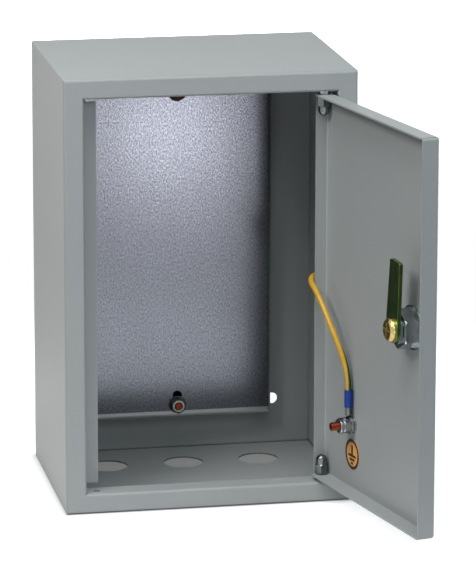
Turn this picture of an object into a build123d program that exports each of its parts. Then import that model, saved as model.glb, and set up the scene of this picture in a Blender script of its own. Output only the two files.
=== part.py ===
"""Wall-mounted electrical cabinet: a folded and welded steel box with an inset hinged door.

Millimetres, +Z up. The front faces -Y and the wall lies at y = 0. The origin is the middle of
the back face, which is also the middle of the four wall holes. The door is modelled shut and
then swung open about its hinge pins.
"""
from build123d import *
from math import radians, sqrt, tan
import os

# Cabinet body
cabinet_width = 200.0
cabinet_height = 300.0
cabinet_depth = 150.0
sheet = 1.2
bend_radius = 2.0  # outside radius of every fold
weld_radius = 1.0  # ground welds along the sides and the back
front_border = 14.0  # width of the frame round the opening
stop_depth = 14.5  # front plane to the face of the two door stops
stop_reach = 10.0  # how far each door stop reaches into the opening
stop_end_gap = 4.0  # door stop short of the upper and lower ledges
cutter_length = 5.0  # cutter for a hole through one sheet
wall_hole_diameter = 8.0
wall_hole_inset_x = 28.5  # from the outside of each side
wall_hole_inset_z = 34.0  # from the outside of the top and the bottom
cable_hole_diameter = 28.0
cable_hole_pitch = 54.0
cable_hole_count = 3
cable_hole_from_back = 40.0

# Door
door_angle = 103.0  # how far the door stands open
door_gap_side = 2.5
door_gap_end = 2.5
door_recess = 1.5  # door face behind the front plane
door_flange = 12.5  # depth of the free, upper and lower folds
hinge_flange = 9.5  # shallower, so that it swings past the stop
door_corner_radius = 2.0
corner_slit = 0.8  # open corner between two folds
hinge_inset = 8.0  # hinge axis from the side of the opening
hinge_depth = 7.5  # hinge axis behind the front plane
hinge_chamfer = 4.5  # corner cut off the upper and lower folds at the hinge

# Hinge pins
pin_diameter = 5.0
running_clearance = 0.05
thread_clearance = 0.05
collar_diameter = 8.0
collar_end_gap = 0.1
pin_chamfer = 0.5
pin_reach = 4.0  # length of pin beyond the frame's fold
dome_nut_flats = 8.0
dome_nut_hex = 7.5
dome_nut_chamfer = 0.8
dome_nut_height = 14.0
dome_diameter = 7.6
pin_in_nut = 9.0

# Mounting plate
plate_sheet = 1.5
plate_bend_radius = 3.0
plate_margin_x = 32.0  # edge of the plate from the outside of each side
plate_margin_z = 27.0
plate_standoff = 14.8  # front of the plate to the inside of the back
plate_stud_inset = 37.0  # stud axis from the outside of the top and the bottom
plate_slot_width = 6.6
plate_slot_down = 4.0  # slot below the stud axis, and above the upper one
lower_slot_up = 10.0  # lower slot above its stud axis

# Studs and their fasteners
stud_diameter = 6.0
stud_chamfer = 0.75
plate_stud_beyond = 7.0  # length of a plate stud in front of the plate
door_stud_length = 16.5
body_stud_length = 13.0
washer_diameter = 12.5
washer_thickness = 1.2
washer_clearance = 0.1
nut_flats = 10.0
nut_height = 5.0
thin_nut_height = 2.6
nut_chamfer = 0.9
door_stud_from_hinge = 39.0  # along the door from the hinge axis
door_stud_from_bottom = 46.0  # above the door's lower edge
body_stud_from_front = 50.0
body_stud_below_middle = 60.0

# Ring terminals and the earth lead
lug_thickness = 0.8
lug_diameter = 11.0
lug_neck = 4.0
lug_neck_start = 4.5  # from the stud axis
lug_barrel_start = 7.0  # from the stud axis
lug_barrel_end = 18.0
lug_barrel_diameter = 4.2
sleeve_start = 12.5
sleeve_end = 24.5
sleeve_diameter = 5.8
lead_diameter = 4.0
sleeve_clearance = 0.1
lead_bend_share = 0.45  # share of each straight run that one bend may take
lead_points = [
    (88.23, -180.16, -69.4),
    (88.23, -180.16, -54.5),
    (84.2, -176.0, -38.0),
    (79.0, -167.5, -22.8),
    (75.2, -157.0, -9.8),
    (72.4, -147.0, -1.5),
    (70.5, -139.0, 2.6),
    (72.4, -132.5, 5.0),
    (79.5, -126.0, 5.5),
    (87.5, -116.0, 1.5),
    (93.8, -106.0, -8.0),
    (95.5, -101.0, -21.0),
    (95.5, -100.0, -35.0),
    (95.5, -100.0, -41.9),
]

# Earth label
label_diameter = 21.0
label_thickness = 0.3
label_from_bottom = 25.0

# Cam lock
lock_from_free_edge = 33.0
lock_above_middle = 1.0
lock_hole_diameter = 19.5
lock_body_diameter = 19.0
lock_flats = 17.0
lock_head_diameter = 24.0
lock_head_height = 2.5
lock_head_chamfer = 0.8
lock_washer_diameter = 30.0
lock_washer_thickness = 1.2
lock_nut_flats = 24.0
lock_nut_height = 10.0
plug_diameter = 13.0
plug_slot_width = 2.4
plug_slot_length = 7.0
plug_slot_depth = 3.0
plug_square = 8.0
cam_clearance = 0.3  # cam behind the door stop
cam_hole_clearance = 0.1
cam_lean = 5.0  # cam at rest, from upright toward the free edge
cam_thickness = 2.5
cam_length = 47.0  # lock axis to the tip
cam_hub_radius = 8.5
cam_tip_width = 14.0
cam_tip_radius = 2.0
cam_screw_head = 16.0
cam_screw_head_height = 3.4
cam_screw_head_round = 2.8
cam_screw_diameter = 4.0
cam_screw_length = 8.0
cam_screw_cross = 1.8
cam_screw_cross_length = 10.0
cam_screw_cross_depth = 1.6

# Places that follow from the sizes above
half_width = cabinet_width / 2
half_height = cabinet_height / 2
front = -cabinet_depth
half_sheet = sheet / 2
open_x = half_width - front_border
open_z = half_height - front_border
stop_y = front + stop_depth
frame_rear_y = stop_y + sheet
hinge_x = open_x - hinge_inset
hinge_y = front + hinge_depth
hinge_axis = Axis((hinge_x, hinge_y, 0), (0, 0, 1))
door_half_x = open_x - door_gap_side
door_half_z = open_z - door_gap_end
door_face_y = front + door_recess
door_inside_y = door_face_y + sheet
door_tip_y = door_face_y + door_flange
inside_x = half_width - sheet
back_inside_y = -sheet
plate_front_y = back_inside_y - plate_standoff
lock_x = -door_half_x + lock_from_free_edge
cam_near_y = frame_rear_y + cam_clearance
door_stud_x = hinge_x - door_stud_from_hinge
door_stud_z = -door_half_z + door_stud_from_bottom


def folded_sheet(*points):
    """Section of a folded sheet along the middle of its thickness."""
    return trace(FilletPolyline(*points, radius=bend_radius - half_sheet), sheet)


def corner_wedge():
    """The upper border and top as seen from the front, cut at 45 degrees at both ends."""
    outline = Polyline(
        (-half_width, half_height),
        (half_width, half_height),
        (open_x, open_z),
        (-open_x, open_z),
        close=True,
    )
    section = Plane.XZ * make_face(outline)
    return extrude(section, amount=cabinet_depth)


def ground_edges(shape):
    """Round the welded edges along the sides and the back, and the folds beside the back."""
    box = Pos(0, front / 2, 0) * Box(cabinet_width, cabinet_depth, cabinet_height)
    box = fillet(box.edges().filter_by(Axis.Z).sort_by(Axis.Y)[-2:], bend_radius)
    along_sides = box.edges().filter_by(Axis.Y)
    back_edges = box.edges().filter_by(Axis.X).sort_by(Axis.Y)[-2:]
    return shape & fillet(along_sides + back_edges, weld_radius)


def make_body_wrap():
    """Sides, back, side borders and door stops, folded from one sheet."""
    stop_mid = stop_y + half_sheet
    jamb_mid = open_x + half_sheet
    front_mid = front + half_sheet
    side_mid = half_width - half_sheet
    section = folded_sheet(
        (-open_x + stop_reach, stop_mid),
        (-jamb_mid, stop_mid),
        (-jamb_mid, front_mid),
        (-side_mid, front_mid),
        (-side_mid, -half_sheet),
        (side_mid, -half_sheet),
        (side_mid, front_mid),
        (jamb_mid, front_mid),
        (jamb_mid, stop_mid),
        (open_x - stop_reach, stop_mid),
    )
    wrap = Pos(0, 0, -half_height) * extrude(section, amount=cabinet_height)
    upper_wedge = Pos(0, back_inside_y, 0) * corner_wedge()
    wrap = wrap - upper_wedge - mirror(upper_wedge, Plane.XY)
    zone_depth = bend_radius + sheet
    stop_zone = Pos(0, frame_rear_y - zone_depth / 2, 0) * Box(2 * open_x, zone_depth, cabinet_height)
    door_way = Box(2 * open_x, 2 * cabinet_depth, 2 * (open_z - stop_end_gap))
    wrap = wrap - (stop_zone - door_way)
    for x in (-1, 1):
        for z in (-1, 1):
            hole = Rot(90, 0, 0) * Cylinder(wall_hole_diameter / 2, cutter_length)
            place = Pos(x * (half_width - wall_hole_inset_x), 0, z * (half_height - wall_hole_inset_z))
            wrap = wrap - place * hole
    return ground_edges(wrap)


def make_top_panel():
    """Top, upper border and upper ledge, folded from one sheet, with a hinge hole at each end."""
    ledge_mid = open_z + half_sheet
    top_mid = half_height - half_sheet
    section = Plane.YZ * folded_sheet(
        (frame_rear_y, ledge_mid),
        (front + half_sheet, ledge_mid),
        (front + half_sheet, top_mid),
        (back_inside_y, top_mid),
    )
    panel = Pos(-half_width, 0, 0) * extrude(section, amount=cabinet_width)
    panel = panel & (Pos(0, back_inside_y, 0) * corner_wedge())
    for x in (-hinge_x, hinge_x):
        hole = Cylinder(pin_diameter / 2 + running_clearance, cutter_length)
        panel = panel - Pos(x, hinge_y, ledge_mid) * hole
    return ground_edges(panel)


def make_bottom_panel():
    """The top panel turned over, with the cable holes."""
    panel = mirror(make_top_panel(), Plane.XY)
    middle = (cable_hole_count - 1) / 2
    for number in range(cable_hole_count):
        hole = Cylinder(cable_hole_diameter / 2, cutter_length)
        place = Pos((number - middle) * cable_hole_pitch, -cable_hole_from_back, -half_height)
        panel = panel - place * hole
    return panel


def make_mounting_plate():
    """Shallow galvanised pan whose folded edges stand on the back of the cabinet."""
    width = cabinet_width - 2 * plate_margin_x
    height = cabinet_height - 2 * plate_margin_z
    outside = Box(width, plate_standoff, height)
    outside = fillet(outside.faces().sort_by(Axis.Y)[0].edges(), plate_bend_radius)
    inside = Pos(0, plate_sheet, 0) * Box(
        width - 2 * plate_sheet, plate_standoff, height - 2 * plate_sheet
    )
    inside = fillet(inside.faces().sort_by(Axis.Y)[0].edges(), plate_bend_radius - plate_sheet)
    plate = outside - inside
    for x in (-1, 1):
        for z in (-1, 1):
            slit_x = x * (width / 2 - plate_sheet - corner_slit / 2)
            slit = Box(corner_slit, plate_standoff, 2 * plate_sheet)
            slit_y = plate_bend_radius + corner_slit
            plate = plate - Pos(slit_x, slit_y, z * (height - plate_sheet) / 2) * slit
    for z, slot_up in ((-1, lower_slot_up), (1, plate_slot_down)):
        slot_length = slot_up + plate_slot_down
        slot_section = Plane.XZ * (Rot(0, 0, 90) * SlotOverall(slot_length, plate_slot_width))
        slot = extrude(slot_section, amount=plate_standoff, both=True)
        stud_z = z * (half_height - plate_stud_inset)
        plate = plate - Pos(0, 0, stud_z + (slot_up - plate_slot_down) / 2) * slot
    return Pos(0, plate_front_y + plate_standoff / 2, 0) * plate


def stud(length):
    """Weld stud along +Z from its plate, with a chamfered end."""
    body = Pos(0, 0, length / 2) * Cylinder(stud_diameter / 2, length)
    return chamfer(body.edges().sort_by(Axis.Z)[-1], stud_chamfer)


def ring(outer_diameter, bore, thickness):
    """Flat ring that stands on z = 0."""
    disc = Cylinder(outer_diameter / 2, thickness) - Cylinder(bore / 2, thickness)
    return Pos(0, 0, thickness / 2) * disc


def hex_nut(flats, height, bore, edge):
    """Hexagon nut that stands on z = 0, with both rims turned down."""
    corner = flats / sqrt(3)
    prism = extrude(RegularPolygon(corner, 6, rotation=30), amount=height)
    rim = Pos(0, 0, height / 2) * Cylinder(corner, height)
    rim = chamfer(rim.edges().filter_by(GeomType.CIRCLE), edge)
    hole = Pos(0, 0, height / 2) * Cylinder(bore / 2, height)
    return (prism & rim) - hole


def washer():
    return ring(washer_diameter, stud_diameter + 2 * washer_clearance, washer_thickness)


def nut(height):
    return hex_nut(nut_flats, height, stud_diameter + 2 * thread_clearance, nut_chamfer)


def ring_terminal():
    """Ring terminal on z = 0 round the stud axis, with its crimped barrel along +Y."""
    eye = ring(lug_diameter, stud_diameter + 2 * washer_clearance, lug_thickness)
    neck_end = lug_barrel_start + lug_thickness
    neck_middle = (lug_neck_start + neck_end) / 2
    neck = Box(lug_neck, neck_end - lug_neck_start, lug_thickness)
    neck = Pos(0, neck_middle, lug_thickness / 2) * neck
    length = lug_barrel_end - lug_barrel_start
    barrel = Rot(90, 0, 0) * Cylinder(lug_barrel_diameter / 2, length)
    barrel = Pos(0, lug_barrel_start + length / 2, lug_barrel_diameter / 2) * barrel
    return eye + neck + barrel


def terminal_sleeve():
    """Insulating sleeve round the barrel's end and the start of the lead."""
    length = sleeve_end - sleeve_start
    tube = Cylinder(sleeve_diameter / 2, length)
    tube = tube - Cylinder(lug_barrel_diameter / 2 + sleeve_clearance, length)
    middle = sleeve_start + length / 2
    return Pos(0, middle, lug_barrel_diameter / 2) * (Rot(90, 0, 0) * tube)


def earth_stack(plane, prefix, stud_length):
    """Earth stud on a sheet, with washer, ring terminal, washer, nut and thin lock nut."""
    lug_z = washer_thickness
    outer_z = lug_z + lug_thickness
    nut_z = outer_z + washer_thickness
    lock_z = nut_z + nut_height
    parts = {
        "stud": stud(stud_length),
        "inner_washer": washer(),
        "ring_terminal": Pos(0, 0, lug_z) * ring_terminal(),
        "terminal_sleeve": Pos(0, 0, lug_z) * terminal_sleeve(),
        "outer_washer": Pos(0, 0, outer_z) * washer(),
        "nut": Pos(0, 0, nut_z) * nut(nut_height),
        "lock_nut": Pos(0, 0, lock_z) * nut(thin_nut_height),
    }
    return {f"{prefix}_earth_{name}": plane * shape for name, shape in parts.items()}


def plate_fasteners():
    """Upper and lower stud on the back, each with the washer and nut that hold the plate."""
    parts = {}
    for name, side in (("upper", 1), ("lower", -1)):
        stud_z = side * (half_height - plate_stud_inset)
        plane = Plane((0, back_inside_y, stud_z), x_dir=(1, 0, 0), z_dir=(0, -1, 0))
        length = plate_standoff + plate_stud_beyond
        nut_z = plate_standoff + washer_thickness
        parts[f"plate_stud_{name}"] = plane * stud(length)
        parts[f"plate_washer_{name}"] = plane * (Pos(0, 0, plate_standoff) * washer())
        parts[f"plate_nut_{name}"] = plane * (Pos(0, 0, nut_z) * nut(nut_height))
    return parts


def make_earth_lead():
    """Lead from the door's ring terminal, past the hinge, to the one on the cabinet's side."""
    radii = []
    for before, point, after in zip(lead_points, lead_points[1:], lead_points[2:]):
        run_in = Vector(*point) - Vector(*before)
        run_out = Vector(*after) - Vector(*point)
        half_turn = radians(run_in.get_angle(run_out)) / 2
        radii.append(lead_bend_share * min(run_in.length, run_out.length) / tan(half_turn))
    path = FilletPolyline(*lead_points, radius=radii)
    section = Plane(path @ 0, z_dir=path % 0) * Circle(lead_diameter / 2)
    return sweep(section, path=path)


def make_door_panel():
    """Door folded into a tray, shut, with the lock hole and the holes for the hinge pins."""
    width = 2 * door_half_x
    height = 2 * door_half_z
    outside = Pos(0, door_face_y + door_flange / 2, 0) * Box(width, door_flange, height)
    outside = fillet(outside.edges().filter_by(Axis.Y), door_corner_radius)
    outside = fillet(outside.faces().sort_by(Axis.Y)[0].edges(), bend_radius)
    inside = Pos(0, door_inside_y + door_flange / 2, 0) * Box(
        width - 2 * sheet, door_flange, height - 2 * sheet
    )
    inside = fillet(inside.edges().filter_by(Axis.Y), door_corner_radius - sheet)
    inside = fillet(inside.faces().sort_by(Axis.Y)[0].edges(), bend_radius - sheet)
    tray = outside - inside
    hinge_tip_y = door_face_y + hinge_flange
    relief = Polyline(
        (door_half_x + sheet, hinge_tip_y),
        (door_half_x, hinge_tip_y),
        (door_half_x - hinge_chamfer, door_tip_y),
        (door_half_x + sheet, door_tip_y),
        close=True,
    )
    straight = Pos(door_half_x, hinge_tip_y + door_flange / 2, 0) * Box(2 * sheet, door_flange, height)
    tray = tray - extrude(make_face(relief), amount=door_half_z, both=True) - straight
    for x in (-1, 1):
        for z in (-1, 1):
            slit = Box(corner_slit, door_flange, 2 * sheet)
            slit_x = x * (door_half_x - sheet - corner_slit / 2)
            slit_y = door_face_y + bend_radius + door_flange / 2
            tray = tray - Pos(slit_x, slit_y, z * (door_half_z - half_sheet)) * slit
            if x > 0:
                pin_hole = Cylinder(pin_diameter / 2 + thread_clearance, 2 * sheet)
                tray = tray - Pos(hinge_x, hinge_y, z * (door_half_z - half_sheet)) * pin_hole
    lock_hole = Rot(90, 0, 0) * Cylinder(lock_hole_diameter / 2, cutter_length)
    return tray - Pos(lock_x, door_face_y, lock_above_middle) * lock_hole


def hinge_hardware():
    """Pin with a collar through the frame's ledge, and the dome nut that holds it in the door."""
    inner_z = door_half_z - sheet
    collar_height = door_gap_end - collar_end_gap
    tip_z = open_z + sheet + pin_reach
    foot_z = inner_z - pin_in_nut
    pin = Pos(0, 0, (foot_z + tip_z) / 2) * Cylinder(pin_diameter / 2, tip_z - foot_z)
    pin = chamfer(pin.edges().filter_by(GeomType.CIRCLE), pin_chamfer)
    pin = pin + Pos(0, 0, door_half_z + collar_height / 2) * Cylinder(collar_diameter / 2, collar_height)
    base = hex_nut(dome_nut_flats, dome_nut_hex, pin_diameter, dome_nut_chamfer)
    dome_radius = dome_diameter / 2
    neck_height = dome_nut_height - dome_radius
    crown = Pos(0, 0, neck_height / 2) * Cylinder(dome_radius, neck_height)
    crown = crown + Pos(0, 0, neck_height) * Sphere(dome_radius)
    bore_depth = pin_in_nut + thread_clearance
    bore = Pos(0, 0, bore_depth / 2) * Cylinder(pin_diameter / 2 + thread_clearance, bore_depth)
    dome_nut = Pos(0, 0, inner_z) * (Rot(180, 0, 0) * (base + crown - bore))
    parts = {}
    at_hinge = Pos(hinge_x, hinge_y, 0)
    for name, shape in (("hinge_pin", pin), ("hinge_dome_nut", dome_nut)):
        parts[f"{name}_upper"] = at_hinge * shape
        parts[f"{name}_lower"] = at_hinge * mirror(shape, Plane.XY)
    return parts


def make_earth_label():
    """Round label under the door's earth stud."""
    disc = Rot(90, 0, 0) * Cylinder(label_diameter / 2, label_thickness)
    height = -door_half_z + label_from_bottom
    return Pos(door_stud_x, door_inside_y + label_thickness / 2, height) * disc


def lock_pieces():
    """Cam lock along +Z from the door's outer face: barrel, washer, nut, plug, cam and screw."""
    cam_z = cam_near_y - door_face_y
    flats = Box(lock_flats, lock_body_diameter, 2 * cam_z)
    body = Pos(0, 0, cam_z / 2) * Cylinder(lock_body_diameter / 2, cam_z) & flats
    head = Pos(0, 0, -lock_head_height / 2) * Cylinder(lock_head_diameter / 2, lock_head_height)
    head = chamfer(head.edges().filter_by(GeomType.CIRCLE).sort_by(Axis.Z)[0], lock_head_chamfer)
    plug_length = cam_z + lock_head_height
    bore_radius = plug_diameter / 2 + running_clearance
    bore = Pos(0, 0, cam_z / 2 - lock_head_height / 2) * Cylinder(bore_radius, plug_length)
    barrel = body + head - bore
    nut_bore = lock_body_diameter + 2 * thread_clearance
    lock_washer = ring(lock_washer_diameter, nut_bore, lock_washer_thickness)
    lock_nut = hex_nut(lock_nut_flats, lock_nut_height, nut_bore, nut_chamfer)
    plug = Pos(0, 0, cam_z / 2 - lock_head_height / 2) * Cylinder(plug_diameter / 2, plug_length)
    key_slot = Box(plug_slot_width, plug_slot_length, 2 * plug_slot_depth)
    plug = plug - Pos(0, 0, -lock_head_height) * key_slot
    square = Pos(0, 0, cam_z + cam_thickness / 2) * Box(plug_square, plug_square, cam_thickness)
    tapped = Pos(0, 0, cam_z) * Cylinder(cam_screw_diameter / 2 + thread_clearance, 2 * cam_screw_length)
    plug = plug + square - tapped
    arm = Polyline(
        (-cam_hub_radius, 0),
        (-cam_tip_width / 2, cam_length),
        (cam_tip_width / 2, cam_length),
        (cam_hub_radius, 0),
        close=True,
    )
    arm_face = make_face(arm)
    arm_face = fillet(arm_face.vertices().sort_by(Axis.Y)[-2:], cam_tip_radius)
    hole_width = plug_square + 2 * cam_hole_clearance
    square_hole = Rectangle(hole_width, hole_width)
    cam = extrude(arm_face + Circle(cam_hub_radius) - square_hole, amount=cam_thickness)
    head_base = cam_z + cam_thickness
    screw_head = Pos(0, 0, cam_screw_head_height / 2) * Cylinder(cam_screw_head / 2, cam_screw_head_height)
    rim = screw_head.edges().filter_by(GeomType.CIRCLE).sort_by(Axis.Z)[-1]
    screw_head = fillet(rim, cam_screw_head_round)
    for angle in (0, 90):
        cross = Box(cam_screw_cross_length, cam_screw_cross, 2 * cam_screw_cross_depth)
        screw_head = screw_head - Pos(0, 0, cam_screw_head_height) * (Rot(0, 0, angle) * cross)
    shank = Pos(0, 0, -cam_screw_length / 2) * Cylinder(cam_screw_diameter / 2, cam_screw_length)
    plane = Plane((lock_x, door_face_y, lock_above_middle), x_dir=(-1, 0, 0), z_dir=(0, 1, 0))
    turned = Rot(0, 0, -cam_lean)
    parts = {
        "lock_barrel": barrel,
        "lock_washer": Pos(0, 0, sheet) * lock_washer,
        "lock_nut": Pos(0, 0, sheet + lock_washer_thickness) * lock_nut,
        "lock_plug": turned * plug,
        "lock_cam": turned * (Pos(0, 0, cam_z) * cam),
        "cam_screw": turned * (Pos(0, 0, head_base) * (screw_head + shank)),
    }
    return {name: plane * shape for name, shape in parts.items()}


def door_parts():
    """Everything that swings with the door, still shut."""
    stud_plane = Plane((door_stud_x, door_inside_y, door_stud_z), x_dir=(-1, 0, 0), z_dir=(0, 1, 0))
    parts = {"door_panel": make_door_panel(), "earth_label": make_earth_label()}
    parts.update(hinge_hardware())
    parts.update(earth_stack(stud_plane, "door", door_stud_length))
    parts.update(lock_pieces())
    return parts


def cabinet_parts():
    """Everything that stays on the wall."""
    stud_place = (inside_x, front + body_stud_from_front, -body_stud_below_middle)
    stud_plane = Plane(stud_place, x_dir=(0, -1, 0), z_dir=(-1, 0, 0))
    parts = {
        "body_wrap": make_body_wrap(),
        "top_panel": make_top_panel(),
        "bottom_panel": make_bottom_panel(),
        "mounting_plate": make_mounting_plate(),
        "earth_lead": make_earth_lead(),
    }
    parts.update(plate_fasteners())
    parts.update(earth_stack(stud_plane, "body", body_stud_length))
    return parts


os.makedirs("parts", exist_ok=True)
nodes = cabinet_parts()
for name, shape in door_parts().items():
    nodes[name] = shape.rotate(hinge_axis, door_angle)
for name, shape in nodes.items():
    export_step(shape, f"parts/{name}.step")
print(len(nodes), "nodes")
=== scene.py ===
"""The look of a wall cabinet with its door open: materials, earth lead, small details, light and camera."""
import math

import bmesh
import bpy
from mathutils import Matrix, Vector


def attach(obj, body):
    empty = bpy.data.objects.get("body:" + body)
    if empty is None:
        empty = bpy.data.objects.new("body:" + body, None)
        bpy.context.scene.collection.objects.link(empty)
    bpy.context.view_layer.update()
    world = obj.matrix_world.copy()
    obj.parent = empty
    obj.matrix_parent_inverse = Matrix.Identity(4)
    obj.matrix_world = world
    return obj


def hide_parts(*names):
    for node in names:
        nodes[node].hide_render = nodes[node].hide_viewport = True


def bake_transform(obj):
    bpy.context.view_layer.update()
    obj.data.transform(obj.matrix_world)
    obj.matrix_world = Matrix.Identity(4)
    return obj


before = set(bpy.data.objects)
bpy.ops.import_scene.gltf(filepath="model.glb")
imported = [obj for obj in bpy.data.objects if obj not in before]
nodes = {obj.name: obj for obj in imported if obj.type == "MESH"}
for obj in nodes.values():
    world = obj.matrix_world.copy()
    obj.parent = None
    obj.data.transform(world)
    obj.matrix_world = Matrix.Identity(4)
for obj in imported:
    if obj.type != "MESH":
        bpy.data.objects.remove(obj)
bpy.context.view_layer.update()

# Photograph and camera, found from the cabinet's corners.
PHOTO_LONG_SIDE = 563
SENSOR = 36.0
FOCAL_PIXELS = 4038.06
CAMERA_YAW = 0.191
CAMERA_PITCH = 0.2384
CAMERA_ROLL = 0.0019
CAMERA_TARGET = Vector((0.03244, -0.075, -0.01053))
CAMERA_DISTANCE = 2.8
CLIP_START = 0.05
CLIP_END = 50.0

# Places on the cabinet that the details below stand on, in metres.
FLOOR_LEVEL = -0.15
BACK_INSIDE = -0.0012
SIDE_INSIDE = 0.0988
HINGE = Vector((0.078, -0.1425, 0.0))
DOOR_ALONG = Vector((0.224951, -0.974370, 0.0))
DOOR_INWARD = Vector((-0.974370, -0.224951, 0.0))
UPWARD = Vector((0.0, 0.0, 1.0))
DOOR_INSIDE = -0.0048
EARTH_ALONG = 0.039
# Where the mounting plate's bends start; the bends carry a painted highlight.
PLATE_BEND_SIDE = 0.0665
PLATE_BEND_LOW = -0.1178
PLATE_STUD_HEIGHT = 0.113
DOOR_EARTH_HEIGHT = -0.0875
BODY_EARTH_FOOT = Vector((SIDE_INSIDE, -0.1, -0.06))
# Radius of the painted highlight ring round the lower plate stud.
HIGHLIGHT_RING_RADIUS = 0.0041

# Earth label: a ring and the earth sign printed on an orange disc. Each bar has its height and width.
LABEL_HEIGHT = -0.1085
LABEL_RADIUS = 0.0105
LABEL_THICKNESS = 0.0003
PRINT_THICKNESS = 0.00006
RING_INNER = 0.0084
STEM_WIDTH = 0.0025
STEM_TOP = 0.0062
BAR_THICKNESS = 0.0017
RING_STEPS = 48
BARS = [(-0.0011, 0.0118), (-0.0038, 0.0075), (-0.0065, 0.0034)]

# Studs: name, foot, direction, length and body that carries it.
STUD_RADIUS = 0.003
STUD_CHAMFER = 0.0007
THREAD_PITCH = 0.001
THREAD_DEPTH = 0.0005
THREAD_ROWS = 8  # rings of points in one turn of the thread
ROUND_SIDES = 24
PLATE_STUD_LENGTH = 0.0218
BODY_STUD_LENGTH = 0.013
DOOR_STUD_LENGTH = 0.0165
DOOR_EARTH_MIDDLE = HINGE + EARTH_ALONG * DOOR_ALONG + DOOR_INSIDE * DOOR_INWARD
FORWARD = Vector((0.0, -1.0, 0.0))
LEFTWARD = Vector((-1.0, 0.0, 0.0))
STUDS = [
    (
        "plate_stud_upper",
        Vector((0.0, BACK_INSIDE, PLATE_STUD_HEIGHT)),
        FORWARD,
        PLATE_STUD_LENGTH,
        "cabinet",
    ),
    (
        "plate_stud_lower",
        Vector((0.0, BACK_INSIDE, -PLATE_STUD_HEIGHT)),
        FORWARD,
        PLATE_STUD_LENGTH,
        "cabinet",
    ),
    ("body_earth_stud", BODY_EARTH_FOOT, LEFTWARD, BODY_STUD_LENGTH, "cabinet"),
    (
        "door_earth_stud",
        DOOR_EARTH_MIDDLE + DOOR_EARTH_HEIGHT * UPWARD,
        DOOR_INWARD,
        DOOR_STUD_LENGTH,
        "door",
    ),
]

# Earth lead, from the door's terminal to the one on the cabinet's side.
LEAD_DIAMETER = 0.004
LEAD_POINTS = [
    (0.08823, -0.18016, -0.0694),
    (0.08823, -0.18016, -0.0545),
    (0.0842, -0.1760, -0.0380),
    (0.0790, -0.1675, -0.0228),
    (0.0752, -0.1570, -0.0098),
    (0.0724, -0.1470, -0.0015),
    (0.0705, -0.1390, 0.0026),
    (0.0724, -0.1325, 0.0050),
    (0.0795, -0.1260, 0.0055),
    (0.0875, -0.1160, 0.0015),
    (0.0938, -0.1060, -0.0080),
    (0.0955, -0.1010, -0.0210),
    (0.0955, -0.1000, -0.0350),
    (0.0955, -0.1000, -0.0419),
]
LEAD_TWIST = -0.9
LEAD_START_TURN = 0.445
GREEN_SHARE = 0.31
STRIPE_WAVER = 0.02
LEAD_CURVE_STEPS = 12
LEAD_CURVE_ORDER = 3

# Surfaces: the used share of a noise, rounded edges of small metal parts, soft differences, painted shade
# in inside corners and the speckle of the galvanised sheet.
NOISE_MIDDLE = (0.3, 0.7)
EDGE_RADIUS = 0.00025
PASSIVATE_EDGE_RADIUS = 0.0003
ROUGHNESS_LOW = 0.85
ROUGHNESS_HIGH = 1.15
BEVEL_SAMPLES = 4
BUMP_STRENGTH = 0.3
CREASE_REACH = 0.0018
CREASE_SAMPLES = 8
CREASE_RANGE = (0.5, 0.95)
SPECK_RANGE = (0.28, 0.72)
SPECK_ROUGHNESS = (0.225, 0.205)


def srgb(red, green, blue):
    """Colour as it is seen on a screen, 0 to 255, turned to the linear value a shader takes."""
    def linear(value):
        part = value / 255
        return part / 12.92 if part <= 0.04045 else ((part + 0.055) / 1.055) ** 2.4
    return (linear(red), linear(green), linear(blue), 1.0)


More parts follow.
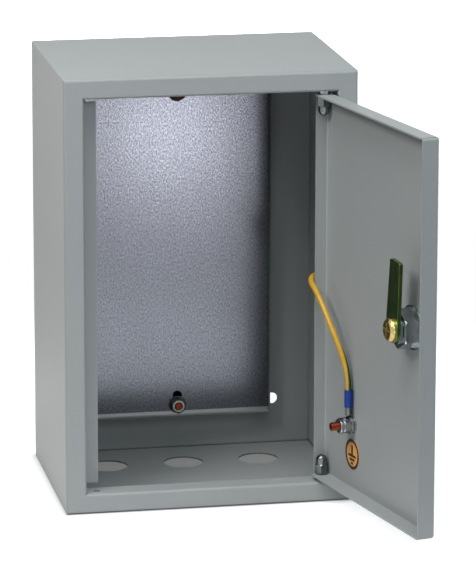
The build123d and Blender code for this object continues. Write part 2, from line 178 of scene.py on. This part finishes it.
class Shader:
    """A new material with short calls for the nodes it is made of."""

    def __init__(self, name):
        self.material = bpy.data.materials.new(name)
        self.material.use_nodes = True
        self.tree = self.material.node_tree
        self.surface = self.tree.nodes["Principled BSDF"]
        self.place = self.tree.nodes.new("ShaderNodeTexCoord").outputs["Object"]

    def set(self, **values):
        for name, value in values.items():
            self.surface.inputs[name.replace("_", " ")].default_value = value

    def link(self, output, name):
        self.tree.links.new(output, self.surface.inputs[name])

    def stretch(self, x, y, z):
        node = self.tree.nodes.new("ShaderNodeMapping")
        node.inputs["Scale"].default_value = (x, y, z)
        self.tree.links.new(self.place, node.inputs["Vector"])
        return node.outputs["Vector"]

    def noise(self, scale, detail=2.0, place=None):
        node = self.tree.nodes.new("ShaderNodeTexNoise")
        node.inputs["Scale"].default_value = scale
        node.inputs["Detail"].default_value = detail
        self.tree.links.new(place or self.place, node.inputs["Vector"])
        return node.outputs["Fac"]

    def axes(self, place=None):
        node = self.tree.nodes.new("ShaderNodeSeparateXYZ")
        self.tree.links.new(place or self.place, node.inputs["Vector"])
        return node.outputs

    def spread(self, value, low, high):
        """The middle of a noise, where most of its values lie, spread from low to high."""
        return self.remap(value, *NOISE_MIDDLE, low, high)

    def remap(self, value, from_low, from_high, to_low, to_high):
        node = self.tree.nodes.new("ShaderNodeMapRange")
        for name, number in (
            ("From Min", from_low),
            ("From Max", from_high),
            ("To Min", to_low),
            ("To Max", to_high),
        ):
            node.inputs[name].default_value = number
        self.tree.links.new(value, node.inputs["Value"])
        return node.outputs["Result"]

    def mix(self, value, first, second):
        node = self.tree.nodes.new("ShaderNodeMix")
        node.data_type = "RGBA"
        self.tree.links.new(value, node.inputs["Factor"])
        for name, colour in (("A", first), ("B", second)):
            socket = [s for s in node.inputs if s.name == name and s.type == "RGBA"][0]
            if isinstance(colour, tuple):
                socket.default_value = colour
            else:
                self.tree.links.new(colour, socket)
        return [s for s in node.outputs if s.type == "RGBA"][0]

    def math(self, operation, first, second):
        node = self.tree.nodes.new("ShaderNodeMath")
        node.operation = operation
        for socket, value in zip(node.inputs, (first, second)):
            if isinstance(value, float):
                socket.default_value = value
            else:
                self.tree.links.new(value, socket)
        return node.outputs["Value"]

    def bump(self, height, distance, strength=1.0, normal=None):
        node = self.tree.nodes.new("ShaderNodeBump")
        node.inputs["Strength"].default_value = strength
        node.inputs["Distance"].default_value = distance
        self.tree.links.new(height, node.inputs["Height"])
        if normal is not None:
            self.tree.links.new(normal, node.inputs["Normal"])
        return node.outputs["Normal"]

    def crease(self, reach):
        """0 deep in an inside corner, rising to 1 on an open face; it places painted shade."""
        node = self.tree.nodes.new("ShaderNodeAmbientOcclusion")
        node.samples = CREASE_SAMPLES
        node.inputs["Distance"].default_value = reach
        return self.remap(node.outputs["AO"], *CREASE_RANGE, 0.0, 1.0)

    def rounded(self, radius):
        node = self.tree.nodes.new("ShaderNodeBevel")
        node.samples = BEVEL_SAMPLES
        node.inputs["Radius"].default_value = radius
        return node.outputs["Normal"]


def powder_coat(name, corner_shade=False):
    """Light grey stoved powder paint with a fine orange peel, and painted shade in the inside corners of a
    welded box.
    """
    shader = Shader(name)
    cloud = shader.noise(14.0, 3.0)
    tint = shader.mix(cloud, srgb(161, 165, 165), srgb(167, 170, 169))
    if corner_shade:
        # Painted shade: darker grey where inside corners and parts close together would hold shade.
        tint = shader.mix(shader.crease(CREASE_REACH), srgb(92, 96, 96), tint)
    shader.link(tint, "Base Color")
    peel = shader.noise(520.0, 3.0)
    grain = shader.noise(1900.0, 1.0)
    height = shader.math("ADD", peel, shader.math("MULTIPLY", grain, 0.35))
    shader.link(shader.bump(height, 0.00016, BUMP_STRENGTH), "Normal")
    shader.link(shader.spread(peel, 0.4, 0.5), "Roughness")
    shader.set(Specular_IOR_Level=0.3)
    return shader.material


def galvanised_steel():
    """Zinc-coated sheet with a fine speckle, and a painted highlight where it is bent."""
    shader = Shader("galvanised_steel")
    fine = shader.noise(1000.0, 2.0, shader.stretch(1.0, 1.0, 0.6))
    speck = shader.remap(fine, *SPECK_RANGE, 0.0, 1.0)
    cloud = shader.noise(60.0, 3.0, shader.stretch(1.0, 1.0, 0.5))
    shade = shader.math("MULTIPLY", speck, shader.spread(cloud, 0.85, 1.0))
    sheet = shader.mix(shade, srgb(90, 93, 100), srgb(132, 135, 143))
    axes = shader.axes()
    aside = shader.math("ABSOLUTE", axes["X"], 0.0)
    beside = shader.math("GREATER_THAN", aside, PLATE_BEND_SIDE)
    below = shader.math("LESS_THAN", axes["Z"], PLATE_BEND_LOW)
    bend_highlight = shader.math("MAXIMUM", beside, below)
    # Painted highlight: the bends are coloured near white.
    shader.link(shader.mix(bend_highlight, sheet, srgb(205, 208, 208)), "Base Color")
    shader.link(shader.remap(speck, 0.0, 1.0, *SPECK_ROUGHNESS), "Roughness")
    shader.link(shader.bump(speck, 0.00001, 0.2), "Normal")
    shader.set(Metallic=1.0)
    return shader.material


def metal(name, dark, light, roughness, scale=200.0, depth=0.000004, highlight_ring_height=None):
    """Bare or plated metal with a fine uneven surface, and a painted highlight ring round a stud whose axis
    is at the given height.
    """
    shader = Shader(name)
    cloud = shader.noise(scale, 3.0)
    tint = shader.mix(shader.spread(cloud, 0.0, 1.0), dark, light)
    if highlight_ring_height is not None:
        axes = shader.axes()
        above = shader.math("SUBTRACT", axes["Z"], highlight_ring_height)
        aside = shader.math("MULTIPLY", axes["X"], axes["X"])
        square = shader.math("ADD", aside, shader.math("MULTIPLY", above, above))
        # Painted highlight: a near-white ring round the stud, where a nut's chamfer would catch light.
        highlight_ring = shader.math("LESS_THAN", square, HIGHLIGHT_RING_RADIUS ** 2)
        tint = shader.mix(highlight_ring, tint, srgb(200, 205, 200))
    shader.link(tint, "Base Color")
    shader.link(shader.spread(cloud, roughness * ROUGHNESS_LOW, roughness * ROUGHNESS_HIGH), "Roughness")
    shader.link(shader.bump(cloud, depth, BUMP_STRENGTH, shader.rounded(EDGE_RADIUS)), "Normal")
    shader.set(Metallic=1.0)
    return shader.material


def passivated_zinc(name, first, second, blush_colour, blush_share):
    """Zinc with a chromate film whose tint drifts in soft patches."""
    shader = Shader(name)
    patch = shader.remap(shader.noise(90.0, 2.0), 0.35, 0.65, 0.0, 1.0)
    film = shader.mix(patch, first, second)
    drift = shader.noise(150.0, 2.0, shader.stretch(1.0, 1.4, 0.8))
    blush = shader.remap(drift, 0.5, 0.75, 0.0, blush_share)
    shader.link(shader.mix(blush, film, blush_colour), "Base Color")
    fine = shader.noise(1500.0, 2.0)
    shader.link(shader.spread(fine, 0.18, 0.26), "Roughness")
    edge = shader.rounded(PASSIVATE_EDGE_RADIUS)
    shader.link(shader.bump(fine, 0.00002, BUMP_STRENGTH, edge), "Normal")
    shader.set(Metallic=1.0)
    return shader.material


def soft_plastic(name, dark, light, roughness):
    """Flexible PVC with a faint waviness."""
    shader = Shader(name)
    wave = shader.noise(320.0, 2.0)
    shader.link(shader.mix(wave, dark, light), "Base Color")
    shader.link(shader.spread(wave, roughness * ROUGHNESS_LOW, roughness * ROUGHNESS_HIGH), "Roughness")
    shader.link(shader.bump(wave, 0.0001, BUMP_STRENGTH), "Normal")
    shader.set(Specular_IOR_Level=0.3)
    return shader.material


def striped_plastic():
    """Earth lead's PVC: yellow with green along its length, after the tube's own unwrapping."""
    shader = Shader("earth_lead_pvc")
    unwrap = shader.tree.nodes.new("ShaderNodeUVMap")
    unwrap.uv_map = "unwrap"
    axes = shader.axes(unwrap.outputs["UV"])
    turned = shader.math("ADD", axes["X"], shader.math("MULTIPLY", axes["Y"], LEAD_TWIST))
    wrapped = shader.math("FRACT", shader.math("ADD", turned, LEAD_START_TURN), 0.0)
    waver = shader.math("MULTIPLY", shader.noise(900.0, 2.0), STRIPE_WAVER)
    edge = shader.math("ADD", wrapped, waver)
    stripe = shader.math("LESS_THAN", edge, GREEN_SHARE)
    wave = shader.noise(320.0, 2.0)
    yellow = shader.mix(wave, srgb(198, 152, 36), srgb(214, 168, 50))
    green = shader.mix(wave, srgb(22, 58, 36), srgb(32, 72, 42))
    shader.link(shader.mix(stripe, yellow, green), "Base Color")
    shader.link(shader.spread(wave, 0.3, 0.4), "Roughness")
    shader.link(shader.bump(wave, 0.0001, BUMP_STRENGTH), "Normal")
    return shader.material


def printed_film(name, dark, light):
    """Printed vinyl of a label."""
    shader = Shader(name)
    grain = shader.noise(1400.0, 2.0)
    shader.link(shader.mix(grain, dark, light), "Base Color")
    shader.link(shader.spread(grain, 0.42, 0.55), "Roughness")
    shader.link(shader.bump(grain, 0.00003, BUMP_STRENGTH), "Normal")
    return shader.material


paint = powder_coat("powder_coat")
box_paint = powder_coat("box_powder_coat", corner_shade=True)
galvanised = galvanised_steel()
copper = metal("coppered_steel", srgb(98, 42, 28), srgb(136, 64, 44), 0.34, 700.0)
zinc = metal("bright_zinc", srgb(152, 156, 158), srgb(168, 171, 173), 0.24)
dome_zinc = metal("dome_zinc", srgb(100, 107, 108), srgb(116, 122, 123), 0.2)
dark_zinc = metal("dark_zinc", srgb(66, 72, 76), srgb(84, 90, 94), 0.2, highlight_ring_height=-PLATE_STUD_HEIGHT)
# Painted shade: a near-black copy of the lower plate washer and nut's zinc, for the upper ones under the
# top ledge.
shadowed_zinc = metal("shadowed_zinc", srgb(26, 22, 21), srgb(36, 32, 30), 0.3)
tinned = metal("tinned_copper", srgb(86, 90, 86), srgb(108, 111, 106), 0.3)
lock_zinc = metal("lock_zinc", srgb(164, 169, 173), srgb(184, 189, 192), 0.18)
olive = passivated_zinc(
    "olive_passivate", srgb(100, 134, 80), srgb(126, 144, 84), srgb(160, 152, 86), 0.45
)
gold = passivated_zinc(
    "yellow_passivate", srgb(200, 182, 122), srgb(184, 166, 102), srgb(186, 140, 102), 0.6
)
blue = soft_plastic("blue_sleeve", srgb(8, 44, 124), srgb(16, 60, 148), 0.34)
lead_pvc = striped_plastic()
orange = printed_film("label_orange", srgb(228, 160, 76), srgb(238, 174, 92))
print_brown = printed_film("label_print", srgb(30, 16, 8), srgb(44, 24, 12))

NODE_MATERIALS = {
    paint: ["door_panel"],
    box_paint: ["body_wrap", "top_panel", "bottom_panel"],
    galvanised: ["mounting_plate"],
    orange: ["earth_label"],
    olive: ["lock_cam"],
    gold: ["cam_screw"],
    lock_zinc: ["lock_washer", "lock_nut"],
    dome_zinc: ["hinge_dome_nut_upper", "hinge_dome_nut_lower", "lock_barrel", "lock_plug"],
    dark_zinc: ["plate_washer_lower", "plate_nut_lower"],
    # The upper plate washer and nut get the near-black painted-shade zinc.
    shadowed_zinc: ["plate_washer_upper", "plate_nut_upper"],
}
NODE_ENDINGS = {
    "_stud": copper,
    "_ring_terminal": tinned,
    "_terminal_sleeve": blue,
}
by_name = {name: material for material, names in NODE_MATERIALS.items() for name in names}
for name, node in nodes.items():
    ending = [material for end, material in NODE_ENDINGS.items() if name.endswith(end)]
    stud = [copper] if name.startswith("plate_stud") else []
    finish = by_name.get(name) or (stud + ending + [zinc])[0]
    node.data.materials.clear()
    node.data.materials.append(finish)


def add_piece(name, mesh, material, body, smooth=True):
    """Puts a finished mesh into the scene on the body that carries it."""
    piece = bpy.data.objects.new(name, mesh)
    bpy.context.scene.collection.objects.link(piece)
    mesh.materials.append(material)
    mesh.polygons.foreach_set("use_smooth", [smooth] * len(mesh.polygons))
    if body:
        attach(piece, body)
    return piece


def route_points(points):
    """Points along the smooth curve that has these as its control points."""
    curve = bpy.data.curves.new("route", "CURVE")
    curve.dimensions = "3D"
    curve.resolution_u = LEAD_CURVE_STEPS
    spline = curve.splines.new("NURBS")
    spline.points.add(len(points) - 1)
    for control, place in zip(spline.points, points):
        control.co = (*place, 1.0)
    spline.order_u = LEAD_CURVE_ORDER
    spline.use_endpoint_u = True
    holder = bpy.data.objects.new("route", curve)
    bpy.context.scene.collection.objects.link(holder)
    line = bpy.data.meshes.new_from_object(holder)
    places = [vertex.co.copy() for vertex in line.vertices]
    bpy.data.objects.remove(holder)
    bpy.data.meshes.remove(line)
    bpy.data.curves.remove(curve)
    return places


def tube(name, centres, radius, sides):
    """Round tube along the centres, closed at both ends, unwrapped along and around."""
    build = bmesh.new()
    unwrap = build.loops.layers.uv.new("unwrap")
    side = (centres[1] - centres[0]).orthogonal().normalized()
    rings = []
    lengths = [0.0]
    for before, after in zip(centres, centres[1:]):
        lengths.append(lengths[-1] + (after - before).length)
    for number, centre in enumerate(centres):
        ahead = centres[min(number + 1, len(centres) - 1)]
        behind = centres[max(number - 1, 0)]
        along = (ahead - behind).normalized()
        side = (side - along * side.dot(along)).normalized()
        across = along.cross(side)
        ring = []
        for step in range(sides):
            angle = math.tau * step / sides
            spoke = math.cos(angle) * side + math.sin(angle) * across
            ring.append(build.verts.new(centre + radius * spoke))
        rings.append(ring)
    for number, (first, second) in enumerate(zip(rings, rings[1:])):
        for step in range(sides):
            after = (step + 1) % sides
            face = build.faces.new((first[step], first[after], second[after], second[step]))
            around = (step, step + 1, step + 1, step)
            rows = (number, number, number + 1, number + 1)
            for loop, turn, row in zip(face.loops, around, rows):
                loop[unwrap].uv = (turn / sides, lengths[row] / lengths[-1])
    build.faces.new(list(reversed(rings[0])))
    build.faces.new(rings[-1])
    mesh = bpy.data.meshes.new(name)
    build.to_mesh(mesh)
    build.free()
    return mesh


def threaded_stud(name, foot, direction, length, body):
    """Copper-plated stud with a rolled thread and a chamfered end, in place of the plain solid."""
    side = direction.orthogonal().normalized()
    across = direction.cross(side)
    rows = int(length / THREAD_PITCH * THREAD_ROWS)
    build = bmesh.new()
    rings = []
    for row in range(rows + 1):
        along = length * row / rows
        ring = []
        for step in range(ROUND_SIDES):
            turn = step / ROUND_SIDES
            wave = abs(2.0 * ((along / THREAD_PITCH - turn) % 1.0) - 1.0)
            radius = STUD_RADIUS - THREAD_DEPTH * wave
            radius = min(radius, STUD_RADIUS - STUD_CHAMFER + (length - along))
            angle = math.tau * turn
            spoke = math.cos(angle) * side + math.sin(angle) * across
            ring.append(build.verts.new(foot + along * direction + radius * spoke))
        rings.append(ring)
    for first, second in zip(rings, rings[1:]):
        for step in range(ROUND_SIDES):
            after = (step + 1) % ROUND_SIDES
            build.faces.new((first[step], first[after], second[after], second[step]))
    build.faces.new(list(reversed(rings[0])))
    build.faces.new(rings[-1])
    mesh = bpy.data.meshes.new(name + "_thread")
    build.to_mesh(mesh)
    build.free()
    piece = add_piece(name + "_thread", mesh, copper, body, smooth=False)
    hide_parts(name)


def on_label(across, up, lift):
    """Point on the earth label, from its middle."""
    middle = HINGE + EARTH_ALONG * DOOR_ALONG + LABEL_HEIGHT * UPWARD
    height = DOOR_INSIDE + LABEL_THICKNESS + lift
    return middle + across * DOOR_ALONG + up * UPWARD + height * DOOR_INWARD


def print_patch(build, outline):
    """Thin raised patch of print with the given outline."""
    low = [build.verts.new(on_label(across, up, 0.0)) for across, up in outline]
    high = [build.verts.new(on_label(across, up, PRINT_THICKNESS)) for across, up in outline]
    build.faces.new(high)
    build.faces.new(list(reversed(low)))
    for step in range(len(outline)):
        after = (step + 1) % len(outline)
        build.faces.new((low[step], low[after], high[after], high[step]))


def bar_outline(middle_up, width, height):
    """Corners of a bar that lies across the label's middle."""
    return [
        (-width / 2, middle_up - height / 2),
        (width / 2, middle_up - height / 2),
        (width / 2, middle_up + height / 2),
        (-width / 2, middle_up + height / 2),
    ]


def label_print():
    """Ring at the label's edge and the earth sign inside it."""
    build = bmesh.new()
    for step in range(RING_STEPS):
        corners = []
        after = step + 1
        corner_turns = (
            (RING_INNER, step),
            (LABEL_RADIUS, step),
            (LABEL_RADIUS, after),
            (RING_INNER, after),
        )
        for radius, turn in corner_turns:
            angle = math.tau * turn / RING_STEPS
            corners.append((radius * math.cos(angle), radius * math.sin(angle)))
        print_patch(build, corners)
    stem_foot = BARS[0][0]
    print_patch(build, bar_outline((STEM_TOP + stem_foot) / 2, STEM_WIDTH, STEM_TOP - stem_foot))
    for middle_up, width in BARS:
        print_patch(build, bar_outline(middle_up, width, BAR_THICKNESS))
    bmesh.ops.recalc_face_normals(build, faces=build.faces)
    mesh = bpy.data.meshes.new("earth_label_print")
    build.to_mesh(mesh)
    build.free()
    add_piece("earth_label_print", mesh, print_brown, "door", smooth=False)


for stud_facts in STUDS:
    threaded_stud(*stud_facts)
label_print()

# Earth lead between the two ring terminals.
lead_centres = route_points(LEAD_POINTS)
lead_mesh = tube("earth_lead_tube", lead_centres, LEAD_DIAMETER / 2, ROUND_SIDES)
lead = add_piece("earth_lead_tube", lead_mesh, lead_pvc, None)
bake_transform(lead)
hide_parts("earth_lead")


# Floor: its colour and its white glow change with the distance from the cabinet's middle. The glow is
# brighter in a ring close round the cabinet and dimmer beyond it, as painted reflections for the mounting
# plate; under the cabinet it has painted shade.
FLOOR_SIZE = 12.0
FLOOR_ROUGHNESS = 0.9
WHITE = (1.0, 1.0, 1.0, 1.0)
FLOOR_NEAR = 0.85
FLOOR_FAR = 0.25
FLOOR_RANGE = (0.26, 0.46)
# Glow near the cabinet, in its ring, midway and far: the bright ring and dimmer band beyond it are painted
# reflections for the mounting plate.
GLOW_NEAR = 0.65
GLOW_RING = 1.0
GLOW_MIDWAY = 0.84
GLOW_FAR = 1.0
GLOW_RING_INSIDE = (0.2, 0.3)
GLOW_RING_OUTSIDE = (0.4, 0.52)
GLOW_FAR_RANGE = (0.9, 1.3)
# Painted shade: share of floor colour and glow left under the cabinet's footprint.
PAINTED_SHADE_UNDER_CABINET = 0.2
FOOTPRINT_MIDDLE = (0.0, -0.075, 0.0)
FOOTPRINT_SCALE = (10.0, 13.333, 0.0)
FOOTPRINT_EDGE = (0.9, 1.1)

# Lamps: name, place, aim, width, height, power and colour. The world is seen white and lights little.
WORLD_STRENGTH = 0.02
WORLD_COLOUR = (0.93, 0.97, 1.0, 1.0)
MIDDLE = (0.0, -0.1, 0.0)
LIGHTS = [
    ("key", (-0.944, -0.82, 1.072), MIDDLE, 0.5, 0.5, 3.6, (1.0, 1.0, 0.98)),
    ("near_key", (-0.53, -0.52, 0.63), MIDDLE, 0.35, 0.35, 2.3, (1.0, 1.0, 0.98)),
    ("left_back", (-1.2, 1.2, 0.5), MIDDLE, 1.0, 1.0, 2.0, (1.0, 0.94, 0.86)),
    ("right_back", (1.5, 0.8, 0.0), MIDDLE, 1.0, 0.24, 24.0, (1.0, 1.0, 1.0)),
    ("back", (0.2, 1.7, 0.0), MIDDLE, 0.5, 0.24, 14.0, (1.0, 1.0, 1.0)),
    ("overhead", (-0.2, -0.7, 1.5), MIDDLE, 0.9, 0.9, 13.4, (0.97, 0.99, 1.0)),
    ("right_fill", (0.75, -1.1, 0.45), MIDDLE, 0.5, 0.5, 2.5, (0.76, 0.89, 1.0)),
    ("front_fill", (0.05, -1.5, 0.85), MIDDLE, 0.5, 0.5, 2.7, (0.82, 0.92, 1.0)),
    ("low_front", (0.165, -1.0, -0.114), (0.0, -0.016, 0.1), 0.06, 0.06, 0.22, (1.0, 0.96, 1.0)),
]


def two_values(tree, operation, first, second):
    """Math node on two linked values."""
    node = tree.nodes.new("ShaderNodeMath")
    node.operation = operation
    tree.links.new(first, node.inputs[0])
    tree.links.new(second, node.inputs[1])
    return node.outputs["Value"]


def map_range(tree, value, before, after):
    """Smooth change from one number to another over a range of the value."""
    node = tree.nodes.new("ShaderNodeMapRange")
    node.interpolation_type = "SMOOTHSTEP"
    numbers = dict(zip(("From Min", "From Max", "To Min", "To Max"), before + after))
    for name, number in numbers.items():
        node.inputs[name].default_value = number
    tree.links.new(value, node.inputs["Value"])
    return node.outputs["Result"]


def seen_rays(tree):
    """1 for rays that show a surface as it is seen, directly, in metal or through glass."""
    path = tree.nodes.new("ShaderNodeLightPath")
    rays = path.outputs
    mirrored = two_values(tree, "MAXIMUM", rays["Is Glossy Ray"], rays["Is Transmission Ray"])
    return two_values(tree, "MAXIMUM", rays["Is Camera Ray"], mirrored)


def add_floor():
    """Wide pale floor that is seen white, keeps shadows, has painted shade under the cabinet and a glow
    shaped for painted reflections.
    """
    bpy.ops.mesh.primitive_plane_add(size=FLOOR_SIZE, location=(0.0, 0.0, FLOOR_LEVEL))
    floor = bpy.context.object
    floor.name = "studio_floor"
    material = bpy.data.materials.new("studio_floor")
    material.use_nodes = True
    tree = material.node_tree
    surface = tree.nodes["Principled BSDF"]
    surface.inputs["Roughness"].default_value = FLOOR_ROUGHNESS
    surface.inputs["Specular IOR Level"].default_value = 0.0
    surface.inputs["Emission Color"].default_value = WHITE
    place = tree.nodes.new("ShaderNodeTexCoord").outputs["Object"]
    offset = tree.nodes.new("ShaderNodeVectorMath")
    offset.operation = "SUBTRACT"
    offset.inputs[1].default_value = FOOTPRINT_MIDDLE
    tree.links.new(place, offset.inputs[0])
    distance = tree.nodes.new("ShaderNodeVectorMath")
    distance.operation = "LENGTH"
    tree.links.new(offset.outputs["Vector"], distance.inputs[0])
    away = distance.outputs["Value"]
    colour = map_range(tree, away, FLOOR_RANGE, (FLOOR_NEAR, FLOOR_FAR))
    # Painted reflection: glow rising to a bright ring round the cabinet, then falling to a dimmer band
    # before the far floor.
    rise = map_range(tree, away, GLOW_RING_INSIDE, (GLOW_NEAR, GLOW_RING))
    fall = map_range(tree, away, GLOW_RING_OUTSIDE, (1.0, GLOW_MIDWAY / GLOW_RING))
    again = map_range(tree, away, GLOW_FAR_RANGE, (1.0, GLOW_FAR / GLOW_MIDWAY))
    glow = two_values(tree, "MULTIPLY", two_values(tree, "MULTIPLY", rise, fall), again)
    inside = tree.nodes.new("ShaderNodeVectorMath")
    inside.operation = "MULTIPLY"
    inside.inputs[1].default_value = FOOTPRINT_SCALE
    tree.links.new(offset.outputs["Vector"], inside.inputs[0])
    size = tree.nodes.new("ShaderNodeVectorMath")
    size.operation = "ABSOLUTE"
    tree.links.new(inside.outputs["Vector"], size.inputs[0])
    split = tree.nodes.new("ShaderNodeSeparateXYZ")
    tree.links.new(size.outputs["Vector"], split.inputs["Vector"])
    edge = two_values(tree, "MAXIMUM", split.outputs["X"], split.outputs["Y"])
    # Painted shade under the cabinet: colour and glow dimmed inside its footprint.
    shade = map_range(tree, edge, FOOTPRINT_EDGE, (PAINTED_SHADE_UNDER_CABINET, 1.0))
    tree.links.new(two_values(tree, "MULTIPLY", colour, shade), surface.inputs["Base Color"])
    glow = two_values(tree, "MULTIPLY", glow, shade)
    glow = two_values(tree, "MULTIPLY", glow, seen_rays(tree))
    tree.links.new(glow, surface.inputs["Emission Strength"])
    floor.data.materials.append(material)


def add_world():
    """Background that is white where it is seen and weak as a light."""
    world = bpy.data.worlds.new("studio")
    world.use_nodes = True
    tree = world.node_tree
    background = tree.nodes["Background"]
    background.inputs["Color"].default_value = WORLD_COLOUR
    strength = tree.nodes.new("ShaderNodeMapRange")
    strength.inputs["To Min"].default_value = WORLD_STRENGTH
    strength.inputs["To Max"].default_value = 1.0
    tree.links.new(seen_rays(tree), strength.inputs["Value"])
    tree.links.new(strength.outputs["Result"], background.inputs["Strength"])
    bpy.context.scene.world = world


def add_area(name, place, aim, width, height, power, colour):
    """Rectangular lamp turned to the point it lights."""
    lamp = bpy.data.lights.new(name, "AREA")
    lamp.shape = "RECTANGLE"
    lamp.size = width
    lamp.size_y = height
    lamp.energy = power
    lamp.color = colour
    holder = bpy.data.objects.new(name, lamp)
    holder.location = place
    holder.rotation_mode = "QUATERNION"
    holder.rotation_quaternion = (Vector(aim) - Vector(place)).to_track_quat("-Z", "Y")
    bpy.context.scene.collection.objects.link(holder)


def add_camera():
    """Camera turned by yaw, pitch and roll about the point it looks at."""
    lens = bpy.data.cameras.new("camera")
    lens.sensor_width = SENSOR
    lens.lens = FOCAL_PIXELS * SENSOR / PHOTO_LONG_SIDE
    lens.clip_start = CLIP_START
    lens.clip_end = CLIP_END
    camera = bpy.data.objects.new("camera", lens)
    ahead = Vector((
        math.sin(CAMERA_YAW) * math.cos(CAMERA_PITCH),
        math.cos(CAMERA_YAW) * math.cos(CAMERA_PITCH),
        -math.sin(CAMERA_PITCH),
    ))
    camera.location = CAMERA_TARGET - ahead * CAMERA_DISTANCE
    level = ahead.to_track_quat("-Z", "Y").to_matrix()
    camera.rotation_mode = "QUATERNION"
    camera.rotation_quaternion = (level @ Matrix.Rotation(CAMERA_ROLL, 3, "Z")).to_quaternion()
    bpy.context.scene.collection.objects.link(camera)
    bpy.context.scene.camera = camera


add_floor()
add_world()
for light_facts in LIGHTS:
    add_area(*light_facts)
add_camera()
bpy.context.scene.view_settings.view_transform = "Standard"
